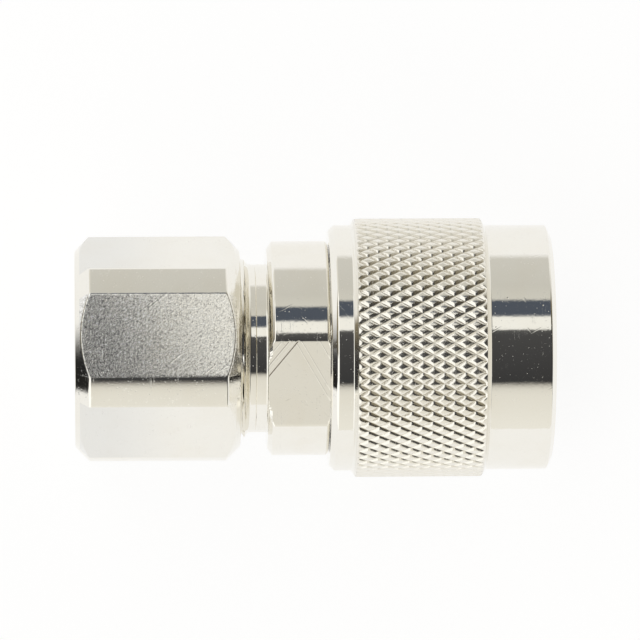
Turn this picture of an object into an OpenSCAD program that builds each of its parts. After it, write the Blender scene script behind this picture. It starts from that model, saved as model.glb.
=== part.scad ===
// N type coaxial plug for a 6 mm cable, clamp style, about 38 mm long.
// Every piece is turned about the X axis. X = 0 is the mating reference plane, where the
// outer contact ends, and +X points out of the mating end. The plug lies on its side.

/* [Centre contact] */
// Diameter of the mating pin
pin_d = 1.65; // [1.3:0.05:2.0]
// Length of the mating pin in front of its shoulder
pin_len = 4.95; // [4:0.05:6]
// Length of the taper at the end of the mating pin
pin_taper = 2.5; // [0.5:0.1:3.5]
// Diameter of the blunt tip
pin_tip_d = 0.4; // [0.2:0.05:1.2]
// Diameter of the contact behind its shoulder
contact_d = 2.2; // [2.1:0.05:2.8]
// Length of the contact behind its shoulder
contact_len = 10.18; // [8.5:0.01:12.5]
// Distance of the shoulder behind the reference plane
shoulder_depth = 5.28; // [5:0.01:6.5]
// Bore of the solder cup
cup_d = 1.5; // [1.1:0.05:1.8]
// Depth of the solder cup
cup_depth = 4.2; // [2:0.1:6]

/* [Insulator and outer contact] */
// Inner diameter of the outer contact, which the insulator fills
coax_d = 7.0; // [6:0.1:8.5]
// Distance of the insulator's rear face behind the contact's shoulder
insulator_len = 9.9; // [8.2:0.1:12.2]
// How far the insulator's flange stands out of it
insulator_flange = 0.6; // [0.3:0.05:0.9]
// Thickness of the insulator's flange
insulator_flange_t = 1.6; // [0.8:0.1:2.4]
// Wall of the outer contact's spring fingers
finger_wall = 0.5; // [0.35:0.05:0.7]
// Number of slots between the spring fingers
finger_slots = 4; // [2:1:8]
// Width of a slot
finger_slot_w = 0.4; // [0.2:0.05:0.8]
// Length of a slot
finger_slot_len = 7.6; // [4:0.1:9]
// Wall of the outer contact's rear part, which is pressed into the body
press_wall = 1.0; // [0.8:0.05:1.3]

/* [Mating depth] */
// Distance behind the reference plane that a mated jack's rim reaches
rim_depth = 9.2; // [8:0.05:11]
// How much a mated jack squeezes the front gasket
gasket_squeeze = 0.2; // [0.05:0.05:0.3]
// Thickness of the front gasket
gasket_t = 1.5; // [1:0.1:2]
// Distance of the body's front boss behind the jack's rim
boss_gap = 0.5; // [0.3:0.05:0.7]
// Wall of the front boss, which centres the front gasket
boss_wall = 0.4; // [0.3:0.05:0.7]

/* [Snap ring] */
// Wall of the body under the snap ring's groove
groove_wall = 1.15; // [0.7:0.05:1.6]
// Radial width of the snap ring
ring_w = 1.45; // [1.1:0.05:1.8]
// How far the snap ring stands out of its groove
ring_proud = 0.8; // [0.5:0.05:1.0]
// Thickness of the snap ring
ring_t = 0.9; // [0.6:0.05:1.3]
// Spare width of the groove
ring_play = 0.1; // [0.05:0.01:0.2]
// Length of body between its front face and the groove
ring_land = 1.9; // [1.2:0.1:2.6]
// Angle of the snap ring's gap
ring_gap = 24; // [12:1:60]

/* [Body] */
// Length of journal behind the groove, on which the coupling nut turns
journal_rear = 2.26; // [1.6:0.01:3.2]
// Height of the wrench collar over the journal
collar_step = 1.4; // [0.9:0.05:2]
// Length of the wrench collar
collar_len = 4.84; // [3.5:0.01:7]
// Depth of each of the two wrench flats
flat_depth = 0.8; // [0.5:0.05:0.9]
// Turn of the wrench flats about the axis, in degrees
flat_turn = 28.2; // [0:0.1:90]
// Length of the neck between the collar and the rear thread
neck_len = 1.45; // [0.8:0.05:2.5]
// Depth of the neck under the rear thread's crests
neck_depth = 0.45; // [0.3:0.05:0.6]
// Outer diameter of the rear thread, 9/16-24 UNEF
clamp_thread_d = 14.25; // [13.3:0.05:17.1]
// Length of the rear thread
clamp_thread_len = 8.25; // [6.9:0.05:11]
// Wall of the rear thread, from its crests to the gland bore
thread_wall = 1.625; // [1.3:0.025:1.9]
// Diameter of the passage for the cable's dielectric
passage_d = 5.0; // [4.2:0.1:5.8]

/* [Coupling nut] */
// Outer diameter of the coupling thread, 5/8-24 UNEF
coupling_thread_d = 15.875; // [15.8:0.005:19.05]
// Height of the coupling thread
thread_height = 0.55; // [0.45:0.01:0.55]
// Length of the coupling thread
coupling_thread_len = 8.6; // [5:0.1:9.5]
// How far the nut reaches in front of the reference plane
nut_overhang = 2.0; // [1.6:0.05:3]
// Wall of the plain front part over the coupling thread
front_wall = 1.7625; // [1.3:0.0025:2.5]
// Wall of the plain rear part over the coupling thread
rear_wall = 1.8125; // [1.3:0.0025:2.5]
// Height of the knurl's grooves over the plain rear part
knurl_step = 0.22; // [0.05:0.01:0.3]
// Depth of the knurl's grooves
knurl_depth = 0.28; // [0.15:0.01:0.4]
// Length of a diamond's flat top along the axis
knurl_top_len = 0.6; // [0.2:0.05:0.9]
// Number of grooves of each hand in the knurl
knurl_grooves = 68; // [40:1:80]
// Rows of half diamonds along the knurl
knurl_rows = 12; // [8:1:16]
// Length of the knurl
knurl_len = 10.0; // [8:0.05:10.5]
// Distance of the knurl in front of the nut's rear face
knurl_rear = 2.1; // [1.5:0.05:3]
// Length of the knurl's bevel at each end
knurl_bevel = 0.35; // [0.1:0.01:0.5]
// Chamfer of the nut's front edge along the axis
rim_chamfer_x = 0.37; // [0.1:0.01:0.6]
// Chamfer of the nut's front edge across the axis
rim_chamfer_r = 0.73; // [0.2:0.01:0.9]
// Chamfer of the nut's rear edge
rear_chamfer = 0.45; // [0.1:0.05:0.7]

/* [Clamp nut] */
// Wall between the thread and each flat of the hexagon
hex_wall = 1.075; // [0.9:0.025:2]
// How far the turned corners stand out of the flats
corner_height = 0.65; // [0.3:0.01:1.2]
// Chamfer of the corners at both ends
corner_chamfer = 1.13; // [0.5:0.01:1.6]
// Thickness of the rear wall
nut_end = 3.06; // [2:0.01:5]
// How far the nut is still to be tightened
clamp_travel = 2.0; // [1:0.1:2.5]
// Gap between the tightened nut and the wrench collar
clamp_stop = 0.09; // [0.05:0.01:0.4]
// Gap between the tightened nut's rear wall and the body's rear end
end_gap = 0.4; // [0.1:0.05:0.8]

/* [Cable gland] */
// Diameter of the cable's jacket
cable_d = 6.1; // [5.1:0.1:7.3]
// Bore of the braid clamp, for the cable's dielectric
dielectric_d = 4.2; // [3.5:0.1:4.6]
// Diameter of the braid clamp's nose
nose_d = 6.4; // [5.9:0.1:7.6]
// Length of the braid clamp's cone
cone_len = 2.0; // [1.2:0.1:3]
// Length of the braid clamp behind its cone
clamp_rear_len = 2.0; // [1:0.1:3]
// Length of the rubber cable gasket
cable_gasket_len = 4.5; // [3:0.1:6]
// Thickness of the thrust washer
washer_t = 1.0; // [0.6:0.1:2]
// Height of the wedge behind the braid clamp, which spreads the cable gasket
wedge_h = 0.8; // [0.3:0.05:1.5]
// Width of the wedge at its foot
wedge_w = 1.0; // [0.4:0.05:1.2]

/* [Fits] */
// Clearance of the cable in the clamp nut's hole, on the diameter
cable_gap = 0.4; // [0.35:0.05:0.6]
// Clearance of the cable in the thrust washer, on the diameter
washer_gap = 0.9; // [0.8:0.05:1.2]
// Clearance of the coupling nut on the journal, on the diameter
journal_gap = 0.1; // [0.04:0.01:0.2]
// Clearance of the nut's relief around the snap ring, on the diameter
relief_gap = 0.4; // [0.2:0.05:0.6]
// Clearance between the rear thread and the clamp nut, on the diameter
clamp_gap = 0.1; // [0.04:0.01:0.2]
// Clearance of the gland pieces in the body's bore, on the diameter
gland_gap = 0.1; // [0.04:0.01:0.2]
// Clearance between faces that turn on each other
face_gap = 0.05; // [0.02:0.01:0.08]

/* [Hidden] */
$fn = 96;

NICKEL = [0.80, 0.79, 0.75];
GOLD = [0.85, 0.68, 0.32];
PTFE = [0.95, 0.95, 0.93];
SILICONE = [0.62, 0.20, 0.12];
RUBBER = [0.12, 0.12, 0.12];
BRASS = [0.78, 0.66, 0.38];

// Small chamfer on turned edges
edge = 0.2;
// How far a cutter runs past what it cuts
past = 0.5;
// Chamfer of the wrench collar's rear edge, along the axis and across it
collar_chamfer_x = 0.4;
collar_chamfer_r = 0.6;
// Thread relief at the bottom of the clamp nut's bore
relief_depth = 0.25;
relief_len = 1;

// Stations along the axis, from the mating end to the cable end
x_nut_front = nut_overhang;
x_shoulder = -shoulder_depth;
x_rim = -rim_depth;
x_boss = x_rim - boss_gap;
x_gasket = x_rim + gasket_squeeze;
x_body_front = x_gasket - gasket_t;
x_groove_front = x_body_front - ring_land;
x_ring_rear = x_groove_front - ring_t;
x_groove_rear = x_ring_rear - ring_play;
x_insulator_rear = x_shoulder - insulator_len;
x_press_rear = x_insulator_rear + insulator_flange_t;
x_collar = x_groove_rear - journal_rear;
x_neck = x_collar - collar_len;
x_thread = x_neck - neck_len;
x_body_rear = x_thread - clamp_thread_len;
x_nut_lip = x_ring_rear - face_gap;
x_nut_rear = x_collar + face_gap;
x_clamp_front = x_neck - clamp_stop - clamp_travel;
x_clamp_floor = x_body_rear - end_gap - clamp_travel;
x_clamp_rear = x_clamp_floor - nut_end;
x_washer = x_clamp_floor + face_gap + washer_t;
x_cable_gasket = x_washer + cable_gasket_len;
x_cone_rear = x_cable_gasket + clamp_rear_len;
x_nose = x_cone_rear + cone_len;
x_seat_rear = x_cone_rear + clamp_travel + face_gap;
x_seat_front = x_nose + clamp_travel + face_gap;

// Diameters, from the axis outwards
finger_d = coax_d + 2 * finger_wall;
press_d = coax_d + 2 * press_wall;
boss_d = press_d + 2 * boss_wall;
flange_d = coax_d + 2 * insulator_flange;
groove_d = press_d + 2 * groove_wall;
journal_d = groove_d + 2 * ring_w;
ring_d = journal_d + 2 * ring_proud;
gasket_d = journal_d - 2 * edge;
collar_d = journal_d + 2 * collar_step;
collar_af = collar_d - 2 * flat_depth;
neck_d = clamp_thread_d - 2 * neck_depth;
gland_d = clamp_thread_d - 2 * thread_wall;
lip_d = journal_d + journal_gap;
relief_d = ring_d + relief_gap;
thread_minor_d = coupling_thread_d - 2 * thread_height;
front_d = coupling_thread_d + 2 * front_wall;
rear_d = coupling_thread_d + 2 * rear_wall;
knurl_root_d = rear_d + 2 * knurl_step;
knurl_tip_d = knurl_root_d + 2 * knurl_depth;
clamp_bore_d = clamp_thread_d + clamp_gap;
hex_af = clamp_bore_d + 2 * hex_wall;
corner_d = hex_af + 2 * corner_height;
gland_piece_d = gland_d - gland_gap;
entry_d = cable_d + cable_gap;
wedge_d = (cable_d + gland_piece_d) / 2;

// A half section of [x, radius] points turned about the X axis
module turned(points) {
    rotate([0, 90, 0]) rotate_extrude() polygon([for (p = points) [p[1], p[0]]]);
}

// A straight round hole or pin along X
module rod(d, x0, x1) {
    translate([x0, 0, 0]) rotate([0, 90, 0]) cylinder(d = d, h = x1 - x0);
}

// A ring of rectangular section with small outer chamfers
module washer(d_out, d_in, x0, x1, c) {
    turned([[x0, d_in / 2], [x0, d_out / 2 - c], [x0 + c, d_out / 2],
        [x1 - c, d_out / 2], [x1, d_out / 2 - c], [x1, d_in / 2]]);
}

module centre_contact() {
    color(GOLD) difference() {
        turned([[x_shoulder + pin_len, 0], [x_shoulder + pin_len, pin_tip_d / 2],
            [x_shoulder + pin_len - pin_taper, pin_d / 2], [x_shoulder, pin_d / 2],
            [x_shoulder, contact_d / 2], [x_shoulder - contact_len, contact_d / 2],
            [x_shoulder - contact_len, 0]]);
        rod(cup_d, x_shoulder - contact_len - past, x_shoulder - contact_len + cup_depth);
    }
}

module insulator() {
    color(PTFE) turned([[x_shoulder, contact_d / 2], [x_shoulder, coax_d / 2],
        [x_press_rear, coax_d / 2], [x_press_rear, flange_d / 2],
        [x_insulator_rear, flange_d / 2], [x_insulator_rear, contact_d / 2]]);
}

module outer_contact() {
    color(GOLD) difference() {
        turned([[0, coax_d / 2], [0, finger_d / 2 - edge], [-edge, finger_d / 2],
            [x_boss, finger_d / 2], [x_boss, press_d / 2], [x_press_rear, press_d / 2],
            [x_press_rear, coax_d / 2]]);
        for (i = [0 : finger_slots - 1])
            rotate([360 / finger_slots * (i + 0.5), 0, 0])
                translate([-finger_slot_len, -finger_slot_w / 2, 0])
                    cube([finger_slot_len + past, finger_slot_w, finger_d]);
    }
}

module connector_body() {
    color(NICKEL) difference() {
        turned([
            [x_boss, press_d / 2], [x_boss, boss_d / 2],
            [x_body_front, boss_d / 2],
            [x_body_front, journal_d / 2 - edge], [x_body_front - edge, journal_d / 2],
            [x_groove_front, journal_d / 2], [x_groove_front, groove_d / 2],
            [x_groove_rear, groove_d / 2], [x_groove_rear, journal_d / 2],
            [x_collar, journal_d / 2],
            [x_collar, collar_d / 2 - edge], [x_collar - edge, collar_d / 2],
            [x_neck + collar_chamfer_x, collar_d / 2], [x_neck, collar_d / 2 - collar_chamfer_r],
            [x_neck, neck_d / 2], [x_thread + neck_depth, neck_d / 2],
            [x_thread, clamp_thread_d / 2],
            [x_body_rear + 2 * edge, clamp_thread_d / 2],
            [x_body_rear, clamp_thread_d / 2 - 2 * edge],
            [x_body_rear, gland_d / 2], [x_seat_rear, gland_d / 2],
            [x_seat_front, nose_d / 2], [x_seat_front, passage_d / 2],
            [x_insulator_rear, passage_d / 2], [x_insulator_rear, flange_d / 2],
            [x_press_rear, flange_d / 2], [x_press_rear, press_d / 2]]);
        // The two wrench flats, on the collar alone
        for (side = [0, 180]) rotate([flat_turn + side, 0, 0])
            translate([x_neck, -collar_d / 2, collar_af / 2])
                cube([collar_len, collar_d, flat_depth + past]);
    }
}

module snap_ring() {
    color(BRASS) difference() {
        washer(ring_d, ring_d - 2 * ring_w, x_ring_rear, x_groove_front, edge / 2);
        translate([x_ring_rear - past, 0, 0]) rotate([90, 0, 90])
            linear_extrude(ring_t + 2 * past)
                polygon([[0, 0], [ring_d * cos(ring_gap / 2), ring_d * sin(ring_gap / 2)],
                    [ring_d * cos(ring_gap / 2), -ring_d * sin(ring_gap / 2)]]);
    }
}

module front_gasket() {
    color(SILICONE) washer(gasket_d, boss_d, x_body_front, x_gasket, edge);
}

// The knurl is a grid of diamonds between grooves of both hands. A row of it has one point for
// each crossing of two grooves, and two for the side corners of each diamond's flat top.
function knurl_point(x, r, s) = let (a = 180 / knurl_grooves * s) [x, r * cos(a), r * sin(a)];

function knurl_row(x, shift, root, tip, flat) =
    [for (i = [0 : knurl_grooves - 1]) let (s = 2 * i + shift)
        each [knurl_point(x, root, s - 1), knurl_point(x, tip, s - flat),
            knurl_point(x, tip, s + flat)]];

module knurl(x0, x1) {
    n = knurl_grooves;
    tip = knurl_tip_d / 2;
    root = knurl_root_d / 2;
    foot = min(front_d, rear_d) / 2 - edge / 2;
    step = (x1 - x0) / knurl_rows;
    flat = knurl_top_len / (2 * step);
    row_size = 5 * n;
    last = row_size * knurl_rows;
    rear = last + row_size;
    front = rear + 3 * n;
    // Each row is followed by its tops' front corners, and then by their rear corners
    points = concat(
        [for (m = [0 : knurl_rows]) let (x = x0 + step * m, shift = m % 2) each concat(
            knurl_row(x, shift, root, tip, flat),
            [for (i = [0 : n - 1]) knurl_point(x + step * flat, tip, 2 * i + shift)],
            [for (i = [0 : n - 1]) knurl_point(x - step * flat, tip, 2 * i + shift)])],
        knurl_row(x0 - knurl_bevel, 0, foot, foot, flat),
        knurl_row(x1 + knurl_bevel, knurl_rows % 2, foot, foot, flat));
    // A diamond's four flanks run from its flat top down to the crossings around it
    diamonds = [for (m = [0 : knurl_rows]) for (i = [0 : n - 1]) let (
        row = row_size * m, next = (i + 1) % n, over = m % 2 == 0 ? i : next,
        west = row + 3 * i + 1, east = west + 1, cross_west = west - 1, cross_east = row + 3 * next,
        ahead = row + 3 * n + i, behind = ahead + n,
        cross_ahead = row + row_size + 3 * over,
        cross_behind = row - row_size + 3 * over) each concat(
            m < knurl_rows ? [[west, ahead, east], [ahead, cross_ahead, east],
                [east, cross_ahead, cross_east], [west, cross_ahead, ahead],
                [west, cross_west, cross_ahead]] : [],
            m > 0 ? [[west, east, behind], [behind, east, cross_behind],
                [east, cross_east, cross_behind], [west, behind, cross_behind],
                [west, cross_behind, cross_west]] : [])];
    bevels = [for (j = [0 : 3 * n - 1]) let (k = (j + 1) % (3 * n)) each [
        [rear + j, j, k], [rear + j, k, rear + k],
        [front + j, last + k, last + j], [front + j, front + k, last + k]]];
    ends = [[for (j = [0 : 3 * n - 1]) rear + j], [for (j = [3 * n - 1 : -1 : 0]) front + j]];
    polyhedron(points = points, faces = concat(diamonds, bevels, ends));
}

module coupling_nut() {
    x_knurl = x_nut_rear + knurl_rear;
    color(NICKEL) difference() {
        union() {
            turned([[x_nut_rear, 0], [x_nut_rear, rear_d / 2 - rear_chamfer],
                [x_nut_rear + rear_chamfer, rear_d / 2],
                [x_knurl + knurl_len / 2, rear_d / 2], [x_knurl + knurl_len / 2, front_d / 2],
                [x_nut_front - rim_chamfer_x, front_d / 2],
                [x_nut_front, front_d / 2 - rim_chamfer_r], [x_nut_front, 0]]);
            knurl(x_knurl, x_knurl + knurl_len);
        }
        rod(lip_d, x_nut_rear - past, x_nut_front + past);
        turned([[x_nut_lip, 0], [x_nut_lip, relief_d / 2],
            [x_nut_front - coupling_thread_len - thread_height, relief_d / 2],
            [x_nut_front - coupling_thread_len, thread_minor_d / 2],
            [x_nut_front - thread_height, thread_minor_d / 2],
            [x_nut_front, coupling_thread_d / 2], [x_nut_front + past, coupling_thread_d / 2],
            [x_nut_front + past, 0]]);
    }
}

// The wedge on the back of the braid clamp, and the groove for it in the cable gasket
module wedge() {
    turned([[x_cable_gasket + past, wedge_d / 2 - wedge_w / 2],
        [x_cable_gasket, wedge_d / 2 - wedge_w / 2], [x_cable_gasket - wedge_h, wedge_d / 2],
        [x_cable_gasket, wedge_d / 2 + wedge_w / 2],
        [x_cable_gasket + past, wedge_d / 2 + wedge_w / 2]]);
}

module braid_clamp() {
    color(BRASS) union() {
        turned([[x_cable_gasket, dielectric_d / 2],
            [x_cable_gasket, gland_piece_d / 2], [x_cone_rear, gland_piece_d / 2],
            [x_nose, nose_d / 2 - gland_gap / 2], [x_nose, dielectric_d / 2]]);
        wedge();
    }
}

module cable_gasket() {
    color(RUBBER) difference() {
        washer(gland_piece_d, cable_d, x_washer, x_cable_gasket, edge);
        wedge();
    }
}

module thrust_washer() {
    color(BRASS)
        washer(gland_piece_d, cable_d + washer_gap, x_washer - washer_t, x_washer, edge / 2);
}

module clamp_nut() {
    color(NICKEL) difference() {
        intersection() {
            rotate([0, 90, 0]) translate([0, 0, x_clamp_rear])
                rotate([0, 0, 30])
                    cylinder(d = hex_af / cos(30), h = x_clamp_front - x_clamp_rear, $fn = 6);
            turned([[x_clamp_rear, 0], [x_clamp_rear, corner_d / 2 - corner_chamfer],
                [x_clamp_rear + corner_chamfer, corner_d / 2],
                [x_clamp_front - corner_chamfer, corner_d / 2],
                [x_clamp_front, corner_d / 2 - corner_chamfer], [x_clamp_front, 0]]);
        }
        rod(entry_d, x_clamp_rear - past, x_clamp_floor + past);
        turned([[x_clamp_rear - past, 0], [x_clamp_rear - past, entry_d / 2 + edge + past],
            [x_clamp_rear + edge, entry_d / 2], [x_clamp_rear + edge, 0]]);
        turned([[x_clamp_floor, 0], [x_clamp_floor, clamp_bore_d / 2 + relief_depth],
            [x_clamp_floor + relief_len, clamp_bore_d / 2 + relief_depth],
            [x_clamp_floor + relief_len + relief_depth, clamp_bore_d / 2],
            [x_clamp_front - edge, clamp_bore_d / 2],
            [x_clamp_front, clamp_bore_d / 2 + edge],
            [x_clamp_front + past, clamp_bore_d / 2 + edge], [x_clamp_front + past, 0]]);
    }
}

connector_body();
outer_contact();
insulator();
centre_contact();
snap_ring();
front_gasket();
coupling_nut();
braid_clamp();
cable_gasket();
thrust_washer();
clamp_nut();
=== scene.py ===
"""An N type cable plug, clamp style: nickel plated body, knurled coupling nut, hexagonal clamp nut.

Lengths are in millimetres until a mesh is made. X runs along the plug's axis from the cable end to
the mating end, and a point at radius r and angle a lies at (x, -r sin a, r cos a).
"""

import math

import bmesh
import bpy
import numpy as np
from mathutils import Matrix, Vector


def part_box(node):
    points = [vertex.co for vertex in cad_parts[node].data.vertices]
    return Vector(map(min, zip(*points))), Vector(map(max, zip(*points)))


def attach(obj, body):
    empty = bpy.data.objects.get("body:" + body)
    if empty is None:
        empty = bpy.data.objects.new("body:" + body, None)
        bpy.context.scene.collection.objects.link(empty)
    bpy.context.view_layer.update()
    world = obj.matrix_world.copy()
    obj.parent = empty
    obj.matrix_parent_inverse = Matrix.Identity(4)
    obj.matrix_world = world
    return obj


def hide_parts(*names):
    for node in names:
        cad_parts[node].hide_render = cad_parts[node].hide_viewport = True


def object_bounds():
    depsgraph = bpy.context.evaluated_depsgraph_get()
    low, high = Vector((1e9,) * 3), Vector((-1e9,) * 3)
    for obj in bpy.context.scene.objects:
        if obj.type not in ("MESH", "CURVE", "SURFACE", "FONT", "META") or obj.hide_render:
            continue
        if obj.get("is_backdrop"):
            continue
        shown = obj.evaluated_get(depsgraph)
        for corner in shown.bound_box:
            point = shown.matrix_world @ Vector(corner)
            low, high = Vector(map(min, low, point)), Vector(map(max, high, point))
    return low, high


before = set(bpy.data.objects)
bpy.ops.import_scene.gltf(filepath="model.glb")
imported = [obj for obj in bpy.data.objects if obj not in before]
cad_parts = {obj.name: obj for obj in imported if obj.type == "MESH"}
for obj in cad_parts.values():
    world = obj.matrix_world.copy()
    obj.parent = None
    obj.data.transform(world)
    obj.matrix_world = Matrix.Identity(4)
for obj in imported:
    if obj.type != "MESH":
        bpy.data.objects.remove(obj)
cad_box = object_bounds()

MM = 0.001
TURN = 2 * math.pi


# ---------------------------------------------------------------- sizes

def span(node):
    """A node's rear and front station along the axis, and its largest radius, in millimetres."""
    low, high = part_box(node)
    return low.x / MM, high.x / MM, max(high.y, high.z) / MM


CLAMP_REAR, CLAMP_FRONT, CLAMP_R = span("clamp_nut")
BODY_REAR, BOSS_FRONT, COLLAR_R = span("connector_body")
NUT_REAR, NUT_FRONT, KNURL_TIP = span("coupling_nut")
INSULATOR_REAR, _, FLANGE_R = span("insulator")
RING_REAR, RING_FRONT, _ = span("snap_ring")
GASKET_REAR = span("front_gasket")[0]
HEX_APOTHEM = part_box("clamp_nut")[1].z / MM

# Threads
PITCH = 25.4 / 24              # all have 24 turns to the inch
THREAD_DEPTH = 0.60
THREAD_FLAT = 7 / 64           # half a crest's or a root's share of a side of the wave
COUPLING_MAJOR = 7.9375
CLAMP_THREAD_R = 7.125
CLAMP_BORE_R = 7.175

# Edges and gaps
FACE_GAP = 0.05
EDGE = 0.2                     # bevel of most edges
BREAK = 0.03                   # fillet of a crisp corner

# Clamp nut
HEX_SIDES = 6
CORNER_CHAMFER = 1.13
CORNER_FILLET = 0.12
CORNER_BLEND = 0.04            # between the chamfered profile and the flats
CLAMP_FLOOR = CLAMP_REAR + 3.06
CLAMP_THREAD_REAR = CLAMP_FLOOR + 1.25
CLAMP_THREAD_FRONT = CLAMP_FRONT - EDGE
CLAMP_RELIEF_R = CLAMP_BORE_R + 0.25
ENTRY_R = 3.25

# Body
BOSS_R = 4.9
JOURNAL_R = 7.1
GROOVE_R = 5.65
GROOVE_REAR = RING_REAR - 0.1
COLLAR_FRONT = NUT_REAR - FACE_GAP
COLLAR_REAR = COLLAR_FRONT - 4.84
COLLAR_CHAMFER_X, COLLAR_CHAMFER_R = 0.4, 0.6
COLLAR_APOTHEM = 7.7
COLLAR_FLATS = 2
FLAT_TURN = 28.2               # degrees of the first flat's middle round the axis
NECK_R = 6.675
NECK_LINE = COLLAR_REAR - 0.91
NECK_LINE_WIDTH, NECK_LINE_DEPTH = 0.04, 0.03
THREAD_FRONT = COLLAR_REAR - 1.45
FIRST_CREST = THREAD_FRONT - 0.35
THREAD_CHAMFER = 0.45
GLAND_R = 5.5
SEAT_REAR, SEAT_FRONT, NOSE_R = -23.0, -21.0, 3.2
PASSAGE_R = 2.5
PRESS_R, PRESS_REAR = 4.5, INSULATOR_REAR + 1.6

# Coupling nut
FRONT_R = 9.7
REAR_R = 9.75
LIP_R = 7.15
LIP_FRONT = RING_REAR - FACE_GAP
RELIEF_R = 8.1
MOUTH_CHAMFER = 0.25
COUPLING_THREAD_FRONT = NUT_FRONT - 0.3
COUPLING_THREAD_REAR = NUT_FRONT - 8.6
RIM_CHAMFER_X, RIM_CHAMFER_R = 0.37, 0.73
REAR_CHAMFER = 0.45
KNURL_REAR = NUT_REAR + 2.1
KNURL_FRONT = KNURL_REAR + 10.0
KNURL_ROOT = KNURL_TIP - 0.14
KNURL_BEVEL = 0.35
KNURL_RIDGE = 0.16             # width of the blend on a diamond's ridges, in half diamonds
KNURL_SLOPE = [0, 1 / 3, 1 / 2, 1], [1, 1, 0.17, 0]    # slope at shares of the way to a crown
RING_HEIGHT = 0.6              # of the ring at each end of the knurl, as a share of its depth
RING_GAP = 0.02                # between that ring and its bevel
KNURL_GROOVES = 68
KNURL_ROWS = 12
CELL = 6                       # grid steps across one half diamond of the knurl


# ---------------------------------------------------------------- surfaces on grids

GUARD = 0.05                   # distance of a guarding point from the end of its side
WELD = 1e-7                    # in metres
SHARP = 30                     # degrees, over which an edge is shaded sharp


def rounded(corners, steps=4):
    """A closed profile of [x, radius, fillet] corners with each corner turned into an arc.

    The arc starts and ends one fillet from the corner, or less where a side is short, and is a
    quadratic curve drawn towards the corner.
    """
    corners = [np.array(c, float) for c in corners]
    points = []
    for i, corner in enumerate(corners):
        here = corner[:2]
        fillet = corner[2] if len(corner) > 2 else 0
        if fillet == 0:
            points.append(here)
            continue
        back = corners[i - 1][:2] - here
        ahead = corners[(i + 1) % len(corners)][:2] - here
        reach = min(fillet, 0.45 * np.linalg.norm(back), 0.45 * np.linalg.norm(ahead))
        start = here + back / np.linalg.norm(back) * reach
        end = here + ahead / np.linalg.norm(ahead) * reach
        t = np.linspace(0, 1, steps + 1)[:, None]
        points.extend((1 - t) ** 2 * start + 2 * t * (1 - t) * here + t ** 2 * end)
    return np.array(points)


def guarded(profile, least=0):
    """The closed profile with a point close to both ends of each long side, so that its shading
    stays flat between them. Sides whose middle is nearer than least to the axis are left alone."""
    out = []
    for start, end in zip(profile, np.roll(profile, -1, 0)):
        length = np.linalg.norm(end - start)
        long = length > 4 * GUARD and (start + end)[1] / 2 > least
        cuts = np.array([0, GUARD / length, 1 - GUARD / length] if long else [0])
        out.append(start + (end - start) * cuts[:, None])
    return np.concatenate(out)


def stepped(profile, wanted, step):
    """The closed profile with the sides whose middle is wanted cut into steps."""
    out = []
    for start, end in zip(profile, np.roll(profile, -1, 0)):
        length = np.linalg.norm(end - start)
        count = max(1, math.ceil(length / step)) if wanted(*(start + end) / 2) else 1
        out.append(start + (end - start) * (np.arange(count) / count)[:, None])
    return np.concatenate(out)


def soft_min(a, b, width):
    """The smaller of a and b, with a quadratic blend where they are within width of each other."""
    near = np.clip(0.5 + 0.5 * (b - a) / width, 0, 1)
    return b + (a - b) * near - width * near * (1 - near)


def around(x, r, angle):
    """The points (x, -r sin angle, r cos angle) of a grid of stations, radii and angles."""
    return np.stack([x + 0 * angle, -r * np.sin(angle), r * np.cos(angle)], -1)


def grid_piece(name, points, split=None, sharp=SHARP):
    """A closed ring of rows and columns of points as an object, with smooth shading apart from
    edges over sharp degrees.

    split says for each cell which diagonal cuts it in two triangles. Without it cells are quads.
    """
    rows, columns = points.shape[:2]
    row, column = np.arange(rows)[:, None], np.arange(columns)[None, :]
    below, beside = (row + 1) % rows, (column + 1) % columns
    a, b = row * columns + column, row * columns + beside
    c, d = below * columns + column, below * columns + beside
    if split is None:
        faces = np.stack([a, b, d, c], -1).reshape(-1, 4)
    else:
        one = np.stack([a, b, c, b, d, c], -1)
        other = np.stack([a, b, d, a, d, c], -1)
        faces = np.where(split[..., None], one, other).reshape(-1, 3)
    mesh = bpy.data.meshes.new(name)
    mesh.from_pydata(points.reshape(-1, 3) * MM, [], faces.tolist())
    form = bmesh.new()
    form.from_mesh(mesh)
    bmesh.ops.remove_doubles(form, verts=form.verts, dist=WELD)
    bmesh.ops.dissolve_degenerate(form, edges=form.edges, dist=WELD / 10)
    bmesh.ops.recalc_face_normals(form, faces=form.faces)
    form.to_mesh(mesh)
    form.free()
    mesh.shade_smooth()
    mesh.set_sharp_from_angle(angle=math.radians(sharp))
    piece = bpy.data.objects.new(name, mesh)
    bpy.context.scene.collection.objects.link(piece)
    return piece


def turned(name, profile, columns, shape):
    """A closed profile of [x, radius] points carried round the axis, with shape(x, r, angle)
    giving the radius at each angle."""
    angle = np.arange(columns)[None, :] * TURN / columns
    x, r = profile[:, :1] + 0 * angle, profile[:, 1:] + 0 * angle
    return grid_piece(name, around(x, shape(x, r, angle), angle))


def thread_wave(x, angle):
    """Height of a right-hand 60 degree thread from 0 to 1: a triangle wave along x that moves one
    pitch a turn, with its crests and roots cut flat."""
    wave = 1 - np.abs(2 * ((x / PITCH + angle / TURN) % 1) - 1)
    return np.clip((wave - THREAD_FLAT) / (1 - 2 * THREAD_FLAT), 0, 1)


def flat_radius(angle, apothem, middle, sides):
    """Radius of a flat, apothem / cos(angle from its middle), for flats spread over a turn."""
    share = TURN / sides
    return apothem / np.cos((angle - middle + share / 2) % share - share / 2)


# ---------------------------------------------------------------- pieces

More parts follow.
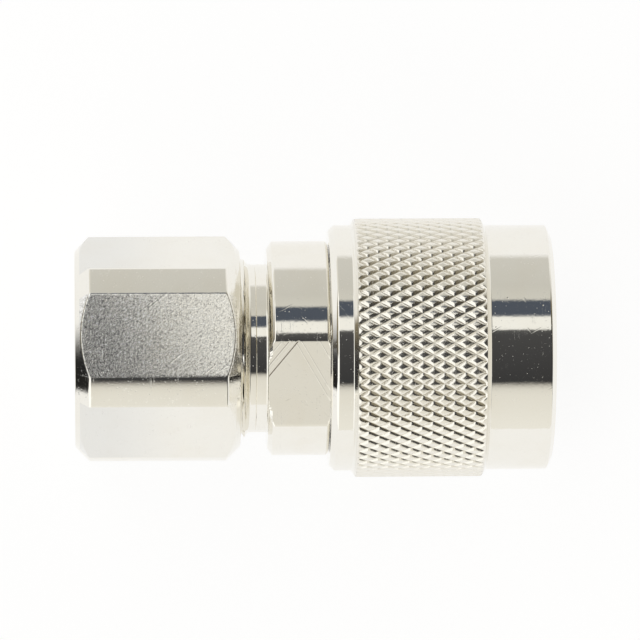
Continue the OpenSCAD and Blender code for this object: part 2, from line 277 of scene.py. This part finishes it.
def clamp_nut():
    """The hexagonal nut: the smaller of a turned, chamfered profile and six flats, with the
    thread's wave standing in from its bore."""
    thread = np.arange(CLAMP_THREAD_FRONT, CLAMP_THREAD_REAR, -PITCH / 8)
    chamfer_rear, chamfer_front = CLAMP_REAR + CORNER_CHAMFER, CLAMP_FRONT - CORNER_CHAMFER

    def on_chamfer(x, r):
        return r > CLAMP_BORE_R + 0.5 and not chamfer_rear <= x <= chamfer_front

    profile = stepped(guarded(rounded([
        [CLAMP_REAR, ENTRY_R + EDGE, BREAK], [CLAMP_REAR, CLAMP_R - CORNER_CHAMFER, CORNER_FILLET],
        [chamfer_rear, CLAMP_R, CORNER_FILLET], [chamfer_front, CLAMP_R, CORNER_FILLET],
        [CLAMP_FRONT, CLAMP_R - CORNER_CHAMFER, CORNER_FILLET],
        [CLAMP_FRONT, CLAMP_BORE_R + EDGE, BREAK], *([x, CLAMP_BORE_R] for x in thread),
        [CLAMP_THREAD_REAR - EDGE, CLAMP_RELIEF_R], [CLAMP_FLOOR, CLAMP_RELIEF_R],
        [CLAMP_FLOOR, ENTRY_R, 0.05], [CLAMP_REAR + EDGE, ENTRY_R, BREAK]])), on_chamfer, step=0.08)

    def shape(x, r, angle):
        flat = flat_radius(angle, HEX_APOTHEM, 0, HEX_SIDES)
        threaded = (x > CLAMP_THREAD_REAR) & (x < CLAMP_THREAD_FRONT) & (
            np.abs(r - CLAMP_BORE_R) < 0.01)
        r = np.where(r > CLAMP_RELIEF_R + 0.05, soft_min(r, flat, CORNER_BLEND), r)
        return np.where(threaded, r - THREAD_DEPTH * thread_wave(x, angle), r)

    return turned("clamp_nut_hexagon", profile, 600, shape)


def connector_body():
    """The turned body: two wrench flats cut its collar, and its rear cylinder is lowered by one
    less the thread's wave, which runs out at the neck."""
    thread = np.arange(FIRST_CREST, BODY_REAR + 0.05, -PITCH / 10)
    profile = guarded(rounded([
        [BOSS_FRONT, PRESS_R, BREAK], [BOSS_FRONT, BOSS_R, 0.05], [GASKET_REAR, BOSS_R],
        [GASKET_REAR, JOURNAL_R - EDGE, BREAK], [GASKET_REAR - EDGE, JOURNAL_R, BREAK],
        [RING_FRONT, JOURNAL_R, BREAK], [RING_FRONT, GROOVE_R], [GROOVE_REAR, GROOVE_R],
        [GROOVE_REAR, JOURNAL_R, BREAK], [COLLAR_FRONT, JOURNAL_R],
        [COLLAR_FRONT, COLLAR_R - EDGE, 0.05], [COLLAR_FRONT - EDGE, COLLAR_R, 0.05],
        [COLLAR_REAR + COLLAR_CHAMFER_X, COLLAR_R, 0.12],
        [COLLAR_REAR, COLLAR_R - COLLAR_CHAMFER_R, 0.1], [COLLAR_REAR, NECK_R, 0.1],
        [NECK_LINE + NECK_LINE_WIDTH, NECK_R], [NECK_LINE, NECK_R - NECK_LINE_DEPTH],
        [NECK_LINE - NECK_LINE_WIDTH, NECK_R], [THREAD_FRONT, NECK_R, 0.12],
        *([x, CLAMP_THREAD_R] for x in thread), [BODY_REAR, CLAMP_THREAD_R - THREAD_CHAMFER, 0.05],
        [BODY_REAR, GLAND_R + 0.1, BREAK], [BODY_REAR + 0.1, GLAND_R, BREAK],
        [SEAT_REAR, GLAND_R, 0.05], [SEAT_FRONT, NOSE_R, BREAK], [SEAT_FRONT, PASSAGE_R, BREAK],
        [INSULATOR_REAR, PASSAGE_R], [INSULATOR_REAR, FLANGE_R], [PRESS_REAR, FLANGE_R],
        [PRESS_REAR, PRESS_R]], steps=3), least=GLAND_R + EDGE)

    def shape(x, r, angle):
        on_collar = (x > COLLAR_REAR - 0.01) & (x < COLLAR_FRONT + 0.01) & (r > COLLAR_APOTHEM)
        threaded = (x < FIRST_CREST + 0.01) & (x > BODY_REAR + 0.02) & (r > CLAMP_THREAD_R - 0.3)
        flat = np.abs(flat_radius(angle, COLLAR_APOTHEM, math.radians(FLAT_TURN), COLLAR_FLATS))
        r = np.where(on_collar, soft_min(r, flat, 0.02), r)
        runout = np.clip((FIRST_CREST + 0.1 - x) / 0.4, 0, 1)
        return np.where(threaded, r - THREAD_DEPTH * (1 - thread_wave(x, angle)) * runout, r)

    return turned("connector_body_turned", profile, 480, shape)


def knurl_height(row, column):
    """Height of the knurl from 0 in its grooves to 1 on a diamond's crown.

    row and column count half diamonds along and round the nut. The distance from the nearest
    groove of each hand is a triangle wave of (column +- row) / 2, and u is the lower of the two.
    KNURL_SLOPE gives the slope at each u: even on the flanks, nearly gone at the crown's edge,
    and then dying away to the crown's middle. Its sum gives the height.
    """
    one = np.abs(2 * (((column + row) / 2) % 1) - 1)
    other = np.abs(2 * (((column - row) / 2) % 1) - 1)
    u = soft_min(one, other, KNURL_RIDGE)
    table = np.linspace(0, 1, 121)
    slope = np.interp(table, *KNURL_SLOPE)
    rise = np.cumsum(slope) - slope[0]
    return np.interp(u, table, rise / rise[-1])


def coupling_nut():
    """The coupling nut's shell: turned ends in one piece with the knurl, whose grid follows the
    diamonds, so that grooves run along the diagonals of its cells. A bevelled ring closes each
    end of the knurl."""
    columns = 2 * KNURL_GROOVES * CELL
    angle = np.arange(columns)[None, :] * TURN / columns
    row = np.arange(KNURL_ROWS * CELL + 1)[:, None] / CELL
    x = KNURL_REAR + (KNURL_FRONT - KNURL_REAR) / KNURL_ROWS * row + 0 * angle
    height = knurl_height(row, np.arange(columns) / CELL)
    height = np.where((row == 0) | (row == KNURL_ROWS), RING_HEIGHT, height)
    r = KNURL_ROOT + (KNURL_TIP - KNURL_ROOT) * height
    ring = r[0, 0]
    ends = guarded(rounded([
        [KNURL_FRONT + RING_GAP, ring], [KNURL_FRONT + KNURL_BEVEL, FRONT_R, BREAK],
        [NUT_FRONT - RIM_CHAMFER_X, FRONT_R, 0.1], [NUT_FRONT, FRONT_R - RIM_CHAMFER_R, 0.08],
        [NUT_FRONT, COUPLING_MAJOR + MOUTH_CHAMFER, 0.05],
        [NUT_FRONT - MOUTH_CHAMFER, COUPLING_MAJOR, BREAK],
        [NUT_FRONT - 0.4, COUPLING_MAJOR + EDGE], [COUPLING_THREAD_REAR, RELIEF_R],
        [LIP_FRONT, RELIEF_R], [LIP_FRONT, LIP_R], [NUT_REAR, LIP_R],
        [NUT_REAR, REAR_R - REAR_CHAMFER, 0.1], [NUT_REAR + REAR_CHAMFER, REAR_R, 0.1],
        [KNURL_REAR - KNURL_BEVEL, REAR_R, BREAK], [KNURL_REAR - RING_GAP, ring]], steps=2),
        least=RELIEF_R + 0.05)
    ends = ends[:-2]               # without the two points of the side that the knurl fills
    x = np.concatenate([ends[:, :1] + 0 * angle, x])
    r = np.concatenate([ends[:, 1:] + 0 * angle, r])
    cell_row = (np.arange(len(x)) - len(ends)) // CELL
    split = (cell_row[:, None] + np.arange(columns)[None, :] // CELL) % 2 == 0
    return grid_piece("coupling_nut_shell", around(x, r, angle), split, sharp=34)


def coupling_thread():
    """The coupling nut's inside thread: the wave stands in from the major radius, after a lead-in
    at the nut's mouth and before a run-out to the relief."""
    thread = np.arange(COUPLING_THREAD_FRONT, COUPLING_THREAD_REAR, -PITCH / 12)
    profile = np.array([[x, COUPLING_MAJOR] for x in thread] + [
        [COUPLING_THREAD_REAR - 0.55, RELIEF_R], [COUPLING_THREAD_REAR, RELIEF_R + 0.1],
        [NUT_FRONT - 0.4, RELIEF_R + 0.1]])

    def shape(x, r, angle):
        lead_in = np.clip((COUPLING_THREAD_FRONT - x) / 0.7, 0, 1)
        height = THREAD_DEPTH * thread_wave(x, angle) * lead_in
        return np.where(np.abs(r - COUPLING_MAJOR) < 1e-6, r - height, r)

    return turned("coupling_nut_thread", profile, 360, shape)


# ---------------------------------------------------------------- shader maths

class Value:
    """A shader socket in an expression. Each operator adds the Math node that works it out."""

    def __init__(self, shader, socket):
        self.shader, self.socket = shader, socket

    def maths(self, operation, *others):
        sockets = dict(enumerate((self, *others)))
        return self.shader.add("Math", {"operation": operation}, sockets).out()

    def __add__(self, other):
        return self.maths("ADD", other)

    def __sub__(self, other):
        return self.maths("SUBTRACT", other)

    def __rsub__(self, other):
        return self.shader.add("Math", {"operation": "SUBTRACT"}, {0: other, 1: self}).out()

    def __mul__(self, other):
        return self.maths("MULTIPLY", other)

    def __truediv__(self, other):
        return self.maths("DIVIDE", other)

    def __abs__(self):
        return self.maths("ABSOLUTE")

    def __mod__(self, other):
        return self.maths("FLOORED_MODULO", other)

    def ease(self, start, end):
        """0 up to start and 1 from end, with a smooth step between them."""
        return self.shader.add("MapRange", {"interpolation_type": "SMOOTHSTEP"}, {
            "Value": self, "From Min": start, "From Max": end}).out()

    def within(self, start, full, fade, end):
        """1 from full to fade, and 0 up to start and from end, with smooth steps between them."""
        return self.ease(start, full) * (1 - self.ease(fade, end))

    __radd__, __rmul__ = __add__, __mul__


class Node:
    """A node whose outputs are read by name or number."""

    def __init__(self, shader, node):
        self.shader, self.node = shader, node

    def out(self, name=0):
        return Value(self.shader, self.node.outputs[name])


class Shader:
    """The node tree of a material or of the world."""

    def __init__(self, owner):
        owner.use_nodes = True
        self.tree = owner.node_tree
        self.tree.nodes.clear()

    def add(self, kind, settings=None, sockets=None):
        """Adds a node of a type, sets its settings, and then its sockets' values or links."""
        node = self.tree.nodes.new("ShaderNode" + kind)
        for key, value in (settings or {}).items():
            if key == "stops":
                stops = node.color_ramp.elements
                stops.remove(stops[-1])
                for i, (position, colour) in enumerate(value):
                    stop = stops[0] if i == 0 else stops.new(position)
                    stop.position, stop.color = position, (*colour, 1)
            else:
                setattr(node, key, value)
        for key, value in (sockets or {}).items():
            if isinstance(value, Value):
                self.tree.links.new(value.socket, node.inputs[key])
            else:
                node.inputs[key].default_value = value
        return Node(self, node)

    def mix(self, factor, one, other):
        """The colour one where the factor is 0, and the other where it is 1."""
        return self.add("Mix", {"data_type": "RGBA"}, {0: factor, 6: one, 7: other}).out(2)

    def noise(self, place, per_mm, detail=2.0, roughness=0.5):
        """Cloudy noise from 0 to 1 in space."""
        return self.add("TexNoise", None, {
            "Vector": place, "Scale": per_mm / MM, "Detail": detail,
            "Roughness": roughness}).out("Fac")

    def lines(self, length, per_mm, detail=2.0, roughness=0.5):
        """Noise from 0 to 1 that changes only with a length in millimetres."""
        return self.add("TexNoise", {"noise_dimensions": "1D"}, {
            "W": length * per_mm, "Scale": 1.0, "Detail": detail,
            "Roughness": roughness}).out("Fac")


class Surface(Shader):
    """A material's shader, with its place on the plug in millimetres and degrees."""

    def __init__(self, name):
        self.material = bpy.data.materials.new(name)
        super().__init__(self.material)
        self.place = self.add("TexCoord").out("Object")
        split = self.add("SeparateXYZ", None, {0: self.place})
        across, up = split.out("Y") / MM, split.out("Z") / MM
        self.along = split.out("X") / MM
        self.radius = (across * across + up * up).maths("SQRT")
        self.angle = (across * -1).maths("ARCTAN2", up) * (360 / TURN)

    def drawn_out(self, length, turn):
        """The place turned and then shrunk along X, so that a pattern is drawn out by a length."""
        return self.add("Mapping", {"vector_type": "TEXTURE"}, {
            "Vector": self.place, "Rotation": turn, "Scale": (length, 1, 1)}).out()

    def spots(self, per_mm, share, size):
        """Small round spots, 1 at their middles, on a share of the cells of a random pattern."""
        cell = self.add("TexVoronoi", None, {"Vector": self.place, "Scale": per_mm / MM})
        draw = self.add("SeparateColor", None, {0: cell.out("Color")}).out()
        return (1 - cell.out("Distance").ease(0, size)) * draw.ease(1 - share, 1 - share / 2)

    def scratches(self, per_mm, share, turn):
        """Short fine scratches: a random pattern drawn out along one direction, where it peaks."""
        return self.noise(self.drawn_out(14, turn), per_mm, 1.0).ease(0.80 - share, 0.86 - share)

    def from_flat(self, middle, flats):
        """Degrees round from the middle of the nearest flat, and millimetres across it."""
        share = 360 / flats
        off = (self.angle - middle + share / 2) % share - share / 2
        return off, self.radius * (off * (TURN / 360)).maths("SINE")

    def tilted(self, tilt):
        """The surface's normal leaned round the axis by a small tilt in radians."""
        ahead = self.add("VectorMath", {"operation": "CROSS_PRODUCT"}, {
            0: (1, 0, 0), 1: self.place}).out()
        lean = self.add("VectorMath", {"operation": "SCALE"}, {
            0: ahead, "Scale": tilt / (self.radius * MM)}).out()
        leaned = self.add("VectorMath", {"operation": "ADD"}, {
            0: self.add("TexCoord").out("Normal"), 1: lean}).out()
        return self.add("VectorTransform", {
            "vector_type": "NORMAL", "convert_from": "OBJECT",
            "convert_to": "WORLD"}, {0: leaned}).out()

    def finish(self, colour, metallic, roughness, height, facing=None):
        """Ends the tree with a Principled shader. height is in millimetres, and facing is the
        normal that it stands on, where that isn't the mesh's own."""
        sockets = {"Base Color": colour, "Metallic": metallic, "Roughness": roughness}
        relief = {"Height": height, "Strength": 1.0, "Distance": MM}
        if facing is not None:
            relief["Normal"] = facing
        sockets["Normal"] = self.add("Bump", None, relief).out()
        shader = self.add("BsdfPrincipled", None, sockets)
        self.add("OutputMaterial", None, {"Surface": shader.out()})
        return self.material


def rgb(r, g, b):
    return (r, g, b, 1)


# ---------------------------------------------------------------- finishes

NICKEL = rgb(0.88, 0.86, 0.80)
NICKEL_WARM = rgb(0.84, 0.80, 0.71)
# The next colour is painted shade for the bottoms of the knurl's grooves.
NICKEL_GROOVE_SHADE = rgb(0.60, 0.56, 0.48)


def turned_height(surface, rings=1.0, peel=1.0):
    """Height of turned, plated metal: fine rings, orange peel, nicks and hairlines."""
    height = surface.lines(surface.along + surface.radius, 6, 4.0, 0.7) * (0.0007 * rings)
    height = height + surface.noise(surface.place, 3.0, 3.0, 0.6) * (0.0022 * peel)
    height = height - surface.spots(1.1, 0.16, 0.10) * 0.008
    for turn in (0.5, -0.9):
        height = height - surface.scratches(3.0, 0.10, (0, 0, turn)) * 0.0015
    return height


def dusty(surface, base):
    """Roughness of bright plating with fine specks of dust, softer worn clouds and rubbed rings."""
    dust = surface.spots(3.6, 0.75, 0.24) + surface.spots(1.7, 0.5, 0.13)
    worn = surface.noise(surface.place, 0.8, 3.0).ease(0.52, 0.72)
    rubbed = surface.lines(surface.along, 9).ease(0.58, 0.64)
    mist = surface.noise(surface.place, 5.0, 3.0, 0.7).ease(0.55, 0.75)
    return base + worn * 0.03 + rubbed * worn * 0.20 + mist * 0.10 + dust * 0.42


def nickel_coupling():
    """The coupling nut's nickel: bright and turned, less polished on the knurl, and with painted
    shade darkening the bottoms of its grooves."""
    surface = Surface("nickel_coupling")
    cloud = surface.noise(surface.place, 0.35, 3.0)
    knurled = surface.along.within(KNURL_REAR - EDGE, KNURL_REAR, KNURL_FRONT, KNURL_FRONT + EDGE)
    # Painted shade: the knurl's groove bottoms are mixed towards a dull, darker nickel.
    groove_shade = (1 - surface.radius.ease(KNURL_ROOT, KNURL_ROOT + 0.05)) * knurled
    colour = surface.mix(cloud.ease(0.4, 0.75) * 0.3 + knurled * 0.35, NICKEL, NICKEL_WARM)
    colour = surface.mix(groove_shade * 0.4, colour, NICKEL_GROOVE_SHADE)
    roughness = dusty(surface, 0.045) + knurled * 0.12
    height = turned_height(surface) * (1 - knurled * 0.4)
    height = height + surface.noise(surface.place, 4.0, 3.0, 0.6) * (knurled * 0.006)
    return surface.finish(colour, 1.0, roughness, height)


# The cutter's marks on a wrench flat: lines square to (along, across), each at a distance from the
# collar's rear end. The dark marks also have a width and a depth.
DARK_MARK_WAY, LIGHT_MARK_WAY = (0.788, 0.616), (0.873, -0.488)
DARK_MARKS = (-0.35, 0.08, 1.0), (-0.60, 0.03, 0.15), (-0.89, 0.07, 0.6), (-1.36, 0.07, 0.3)
LIGHT_MARKS = 5.18, 3.93, 3.5


def nickel_body():
    """The body's nickel, with the cutter's marks near one corner of each wrench flat."""
    surface = Surface("nickel_body")
    cloud = surface.noise(surface.place, 0.35, 3.0)
    off, across = surface.from_flat(FLAT_TURN, COLLAR_FLATS)
    on_flat = (1 - abs(off).ease(24, 25)) * surface.along.within(
        COLLAR_REAR, COLLAR_REAR + 0.05, COLLAR_FRONT - 0.05, COLLAR_FRONT)
    ahead = surface.along - COLLAR_REAR

    def distance(way, level):
        return abs(ahead * way[0] + across * way[1] - level)

    marks, lines = 0, 0
    for level, width, depth in DARK_MARKS:
        marks = (1 - distance(DARK_MARK_WAY, level).ease(width * 0.3, width)) * depth + marks
    for level in LIGHT_MARKS:
        lines = 1 - distance(LIGHT_MARK_WAY, level).ease(0.01, 0.04) + lines
    marks = marks * on_flat
    height = turned_height(surface, 0.7, 1.0) - marks * 0.02 + lines * on_flat * 0.002
    colour = surface.mix(cloud.ease(0.4, 0.75) * 0.4, rgb(0.88, 0.858, 0.795), NICKEL_WARM)
    colour = surface.mix(marks, colour, rgb(0.25, 0.22, 0.18))
    return surface.finish(colour, 1.0, dusty(surface, 0.045), height)


def nickel_clamp():
    """The clamp nut's nickel: grainy milled flats whose facing turns a little along the nut, finer
    grain on the rest, painted shade that tints the flats a colder, darker grey towards the cable
    end, and scuffs and specks on the top flat, more towards the cable end."""
    surface = Surface("nickel_clamp")
    cloud = surface.noise(surface.place, 0.3, 3.0)
    off, across = surface.from_flat(0, HEX_SIDES)
    on_flat = (1 - abs(off).ease(21.4, 22.2)) * surface.radius.ease(
        HEX_APOTHEM - 0.15, HEX_APOTHEM - 0.05)
    inner = surface.along.within(CLAMP_REAR, CLAMP_REAR + 1, CLAMP_FRONT - 1, CLAMP_FRONT)
    from_middle = surface.along - (CLAMP_REAR + CLAMP_FRONT) / 2
    facing = surface.tilted((from_middle * -0.0074 + across * 0.0035) * on_flat * inner)
    grain = 0.25 + on_flat * 0.7
    height = surface.noise(surface.place, 6.0, 4.0, 0.75) * grain * 0.0105
    rings = surface.lines(surface.along + surface.radius * (1 - on_flat), 4, 3.0, 0.7)
    height = height + rings * grain * 0.0028
    height = height - surface.spots(3.4, 0.8, 0.22) * grain * 0.020
    height = height - surface.scratches(3.0, 0.12, (0, 0, 0.7)) * 0.003
    colour = surface.mix(cloud.ease(0.4, 0.75) * 0.3, NICKEL, NICKEL_WARM)
    # Painted shade: the flats are tinted a colder, darker grey towards the cable end, standing in
    # for dimmer reflected light there. The same ramp makes the scuffs and specks stronger towards
    # the cable end.
    painted_shade_ramp = 1 - surface.along.ease(CLAMP_REAR + 2, CLAMP_FRONT - 4)
    colour = surface.mix(on_flat * painted_shade_ramp * 0.22, colour, rgb(0.52, 0.55, 0.60))
    on_top = on_flat * (1 - abs(surface.angle).ease(24, 30))
    scuffed = on_top * (0.55 + painted_shade_ramp * 0.45)
    speck = surface.noise(surface.place, 5.0, 4.0, 0.8)
    colour = surface.mix(scuffed * speck.ease(0.53, 0.62) * 0.8, colour, rgb(0.22, 0.22, 0.23))
    colour = surface.mix(scuffed * (1 - speck.ease(0.36, 0.46)), colour, rgb(1.0, 1.0, 1.0))
    roughness = dusty(surface, 0.06) + on_flat * (surface.spots(4.5, 0.9, 0.26) * 0.12 + 0.01)
    return surface.finish(colour, 1.0, roughness, height, facing)


def gold(name, colour, roughness):
    """Gold plate on turned brass."""
    surface = Surface(name)
    cloud = surface.noise(surface.place, 0.6, 3.0)
    warm = surface.mix(cloud.ease(0.35, 0.8), colour, rgb(0.80, 0.52, 0.20))
    return surface.finish(warm, 1.0, roughness + cloud * 0.08, turned_height(surface, 1.4, 0.6))


def metal(name, colour, roughness):
    """Plain turned metal."""
    surface = Surface(name)
    cloud = surface.noise(surface.place, 0.8, 3.0)
    shaded = surface.mix(cloud.ease(0.4, 0.8), colour, rgb(*(0.8 * value for value in colour[:3])))
    return surface.finish(shaded, 1.0, roughness + cloud * 0.1, turned_height(surface, 1.5, 1.0))


def moulded(name, colour, dark, roughness, grain):
    """Rubber or plastic: two close shades in soft clouds and a fine matt grain."""
    surface = Surface(name)
    cloud = surface.noise(surface.place, 0.9, 4.0)
    height = surface.noise(surface.place, 9.0, 3.0) * grain
    return surface.finish(surface.mix(cloud.ease(0.35, 0.7), colour, dark), 0.0,
                          roughness + cloud * 0.12, height)


# ---------------------------------------------------------------- studio

ELEVATION = math.radians(82.4)     # of the camera over the horizon, on the side of -Y
DISTANCE = 550.0
FOOT = -36.2                       # the station that the camera is square to
AIM = -16.2                        # the station in the middle of the picture
LIFT = 2.22                        # of the picture's middle over the axis
FIELD = math.radians(5.28)
ROLL = math.radians(0.3)

PALE = (1.0, 1.0, 1.0)
BRIGHT = (1.22, 1.22, 1.20)
CREAM = (0.92, 0.91, 0.876)
LOWER_PANEL = (0.94, 0.925, 0.87)
UPPER_PANEL = (0.635, 0.625, 0.58)
STRIP = (0.98, 0.976, 0.94)
GAP = (0.045, 0.045, 0.047)
BLUE_GAP = (0.085, 0.10, 0.13)
BROWN_GAP = (0.10, 0.085, 0.055)
BROWN_CARD = (0.30, 0.26, 0.18)


def studio_world():
    """A light tent. Its panels run along the plug, pale with dark gaps between them, brighter
    towards the cable end and dark towards the mating end on the camera's side.

    Each set of panels is a list of colours at degrees round the plug's axis from the camera's
    side, and x, the direction's share along the axis, leads from one set to the next.
    """
    world = bpy.data.worlds.new("light_tent")
    bpy.context.scene.world = world
    shader = Shader(world)
    split = shader.add("SeparateXYZ", None, {0: shader.add("TexCoord").out("Generated")})
    x, y, z = split.out("X"), split.out("Y"), split.out("Z")
    ahead = z * math.sin(ELEVATION) - y * math.cos(ELEVATION)
    across = y * math.sin(ELEVATION) + z * math.cos(ELEVATION)
    turn = across.maths("ARCTAN2", ahead) * (360 / TURN)

    def panels(*stops):
        stops = [((degrees + 180) / 360, colour) for degrees, colour in stops]
        return shader.add("ValToRGB", {"stops": stops}, {0: (turn + 180) / 360}).out("Color")

    tent = panels(
        (-180, PALE), (-110, CREAM), (-97, CREAM), (-91, LOWER_PANEL), (-46, (0.84, 0.82, 0.755)),
        (-40, (0.78, 0.76, 0.70)), (-36, (0.52, 0.50, 0.46)), (-33, GAP),
        (12, (0.07, 0.07, 0.072)), (15.5, (0.10, 0.10, 0.10)), (17, STRIP), (28, STRIP),
        (30, BLUE_GAP), (44, BLUE_GAP), (46, (0.68, 0.67, 0.62)), (60, UPPER_PANEL),
        (92, (0.67, 0.66, 0.62)), (98, PALE), (180, PALE))
    beside = panels(
        (-180, PALE), (-110, CREAM), (-80, BRIGHT), (48, BRIGHT), (56, (0.80, 0.78, 0.72)),
        (90, (0.80, 0.78, 0.72)), (98, PALE), (180, PALE))
    rear = panels(
        (-180, PALE), (-110, CREAM), (-80, BRIGHT), (-12, BRIGHT), (-5, BROWN_CARD),
        (50, BROWN_CARD), (64, PALE), (180, PALE))
    front = panels(
        (-180, PALE), (-100, CREAM), (-62, (0.90, 0.88, 0.81)), (-42, (0.85, 0.83, 0.75)),
        (-34, GAP), (12, GAP), (28, BROWN_GAP), (42, (0.20, 0.175, 0.125)), (58, UPPER_PANEL),
        (80, CREAM), (110, PALE), (180, PALE))
    far_front = panels(
        (-180, PALE), (-100, CREAM), (-74, (0.85, 0.83, 0.75)), (-64, GAP), (-30, GAP),
        (-10, BROWN_GAP), (15, (0.27, 0.24, 0.17)), (42, (0.58, 0.55, 0.48)), (70, CREAM),
        (110, PALE), (180, PALE))
    tent = shader.mix(x.ease(-0.06, -0.11), tent, beside)
    tent = shader.mix(x.ease(-0.42, -0.55), tent, rear)
    tent = shader.mix(x.ease(0.13, 0.17), tent, front)
    tent = shader.mix(x.ease(0.42, 0.52), tent, far_front)
    tent = shader.mix(x.ease(0.70, 0.77), tent, rgb(0.95, 0.94, 0.91))
    slot = x.ease(-0.72, -0.84) * across.within(-0.44, -0.38, -0.12, 0.36)
    tent = shader.mix(slot, tent, rgb(*GAP))
    lit = shader.add("Background", None, {"Color": tent, "Strength": 1.0})
    white = shader.add("Background", None, {"Color": rgb(*PALE), "Strength": 1.0})
    seen = shader.add("LightPath").out("Is Camera Ray")
    both = shader.add("MixShader", None, {0: seen, 1: lit.out(), 2: white.out()})
    shader.add("OutputWorld", None, {"Surface": both.out()})


def floor():
    """A white floor under the knurl. To the camera and in reflections it glows nearly white and
    still darkens where the plug shades it. Reflections also show a painted dark patch on it,
    behind the cable end: a painted reflection of a dark card, seen only by glossy rays."""
    level, size = -KNURL_TIP * MM, 1.2
    mesh = bpy.data.meshes.new("floor")
    mesh.from_pydata([(-size, -size, level), (size, -size, level), (size, size, level),
                      (-size, size, level)], [], [(0, 1, 2, 3)])
    piece = bpy.data.objects.new("floor", mesh)
    bpy.context.scene.collection.objects.link(piece)
    material = bpy.data.materials.new("floor_white")
    shader = Shader(material)
    path = shader.add("LightPath")
    seen = path.out("Is Camera Ray") + path.out("Is Transmission Ray") + path.out("Is Glossy Ray")
    matt = shader.add("BsdfDiffuse", None, {"Color": rgb(0.85, 0.85, 0.85)})
    split = shader.add("SeparateXYZ", None, {0: shader.add("TexCoord").out("Object")})
    behind = split.out("X") * (-1 / MM) + CLAMP_REAR
    aside = split.out("Y") / (behind * MM).maths("MAXIMUM", 0.001)
    # Painted reflection: a dark patch behind the cable end that only glossy rays see, in place of a
    # dark card.
    painted_reflection_patch = behind.ease(25, 45) * aside.within(-0.46, -0.40, -0.1, 0.3)
    painted_reflection_patch = painted_reflection_patch * path.out("Is Glossy Ray")
    glow = shader.add("Emission", None, {"Color": rgb(*PALE), "Strength": 0.86 * (1 - painted_reflection_patch)})
    shaded = shader.add("BsdfDiffuse", None, {
        "Color": shader.mix(painted_reflection_patch, rgb(0.22, 0.22, 0.22), rgb(0.03, 0.03, 0.03))})
    pale = shader.add("AddShader", None, {0: shaded.out(), 1: glow.out()})
    both = shader.add("MixShader", None, {
        0: seen.maths("MINIMUM", 1.0), 1: matt.out(), 2: pale.out()})
    shader.add("OutputMaterial", None, {"Surface": both.out()})
    mesh.materials.append(material)
    piece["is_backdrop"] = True


def camera():
    """The camera, far over the plug with a long lens, square to the cable end."""
    view = Vector((0, -math.cos(ELEVATION), math.sin(ELEVATION)))
    up = Vector((0, math.sin(ELEVATION), math.cos(ELEVATION)))
    place = Vector((FOOT, 0, 0)) + view * DISTANCE + up * LIFT
    look = (Vector((AIM, 0, 0)) + up * LIFT - place).normalized()
    side = look.cross(up).normalized()
    top = side.cross(look)
    data = bpy.data.cameras.new("camera")
    data.lens_unit = "FOV"
    data.angle = FIELD
    data.clip_start, data.clip_end = 0.01, 10
    item = bpy.data.objects.new("camera", data)
    bpy.context.scene.collection.objects.link(item)
    item.location = place * MM
    level = Matrix((side, top, -look)).transposed()
    item.rotation_euler = (level @ Matrix.Rotation(-ROLL, 3, "Z")).to_euler()
    bpy.context.scene.camera = item


# ---------------------------------------------------------------- making it all

def seat(piece, body, slot, material, *nodes):
    """Gives a piece its material and makes it ride on a body in place of its nodes."""
    piece.data.materials.append(material)
    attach(piece, body)
    if nodes:
        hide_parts(*nodes)


def dress(node, material):
    """Gives a node of the frame its finish."""
    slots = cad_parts[node].data.materials
    slots.clear()
    slots.append(material)


coupling_finish = nickel_coupling()
seat(clamp_nut(), "clamp_nut", "nickel_clamp", nickel_clamp(), "clamp_nut")
seat(connector_body(), "connector_body", "nickel_body", nickel_body(), "connector_body")
seat(coupling_nut(), "coupling_nut", "nickel_coupling", coupling_finish, "coupling_nut")
seat(coupling_thread(), "coupling_nut", "nickel_coupling", coupling_finish)

dress("outer_contact", metal("gold_satin", rgb(0.85, 0.66, 0.30), 0.18))
dress("centre_contact", gold("gold_bright", rgb(0.90, 0.72, 0.34), 0.14))
dress("insulator", moulded("ptfe", rgb(0.90, 0.90, 0.88), rgb(0.84, 0.84, 0.82), 0.42, 0.003))
dress("snap_ring", metal("spring_bronze", rgb(0.62, 0.44, 0.26), 0.25))
dress("front_gasket", moulded(
    "silicone", rgb(0.50, 0.13, 0.07), rgb(0.40, 0.10, 0.06), 0.45, 0.006))
dress("cable_gasket", moulded(
    "black_rubber", rgb(0.030, 0.030, 0.032), rgb(0.02, 0.02, 0.02), 0.55, 0.008))
dress("braid_clamp", metal("nickel_clamp_ring", rgb(0.78, 0.75, 0.69), 0.20))
dress("thrust_washer", metal("nickel_washer", rgb(0.78, 0.75, 0.69), 0.22))

studio_world()
floor()
camera()
bpy.context.scene.view_settings.view_transform = "Standard"


def corners(box):
    return [[float(value) for value in corner] for corner in box]


{"cad": corners(cad_box), "visual": corners(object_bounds())}
